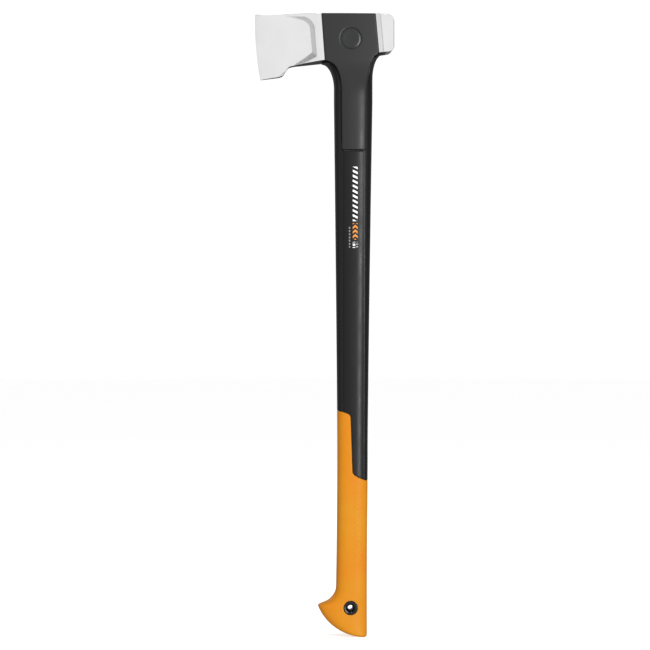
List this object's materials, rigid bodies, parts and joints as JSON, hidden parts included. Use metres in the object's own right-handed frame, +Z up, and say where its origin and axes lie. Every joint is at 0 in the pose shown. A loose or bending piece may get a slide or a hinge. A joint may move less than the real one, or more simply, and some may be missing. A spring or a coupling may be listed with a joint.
{
  "type": "splitting maul",
  "caption": "Long-handled splitting maul: a wedge-shaped forged head strapped and locked to a hollow composite handle with a hooked, soft-skinned grip and a hanging hole.",
  "frame": {"origin": "middle of the bounding box's underside: butt of the handle at z = 0, midway between cutting edge and hammer face in X, on the mid-plane in Y", "axes": "+Z up the handle from the butt to the head, -X towards the cutting edge, +X towards the hammer face, Y across the thickness"},
  "size_m": [0.1826, 0.0568, 0.82],
  "materials": {
    "forged_steel": "satin, shot-blasted with ground cheeks",
    "strap_composite": "fine-grained glass-filled nylon, dark grey",
    "shaft_composite": "fine-grained glass-filled nylon, black",
    "grip_rubber": "soft-touch moulded skin, orange",
    "eyelet_plastic": "high gloss, black"
  },
  "bodies": {
    "root": {"axe_head": "forged_steel", "head_strap": "strap_composite", "handle_shaft": "shaft_composite", "lock_plug_left": "strap_composite", "lock_plug_right": "strap_composite", "shaft_end_plug": "shaft_composite", "grip_skin": "grip_rubber", "hang_eyelet": "eyelet_plastic"}
  },
  "joints": []
}
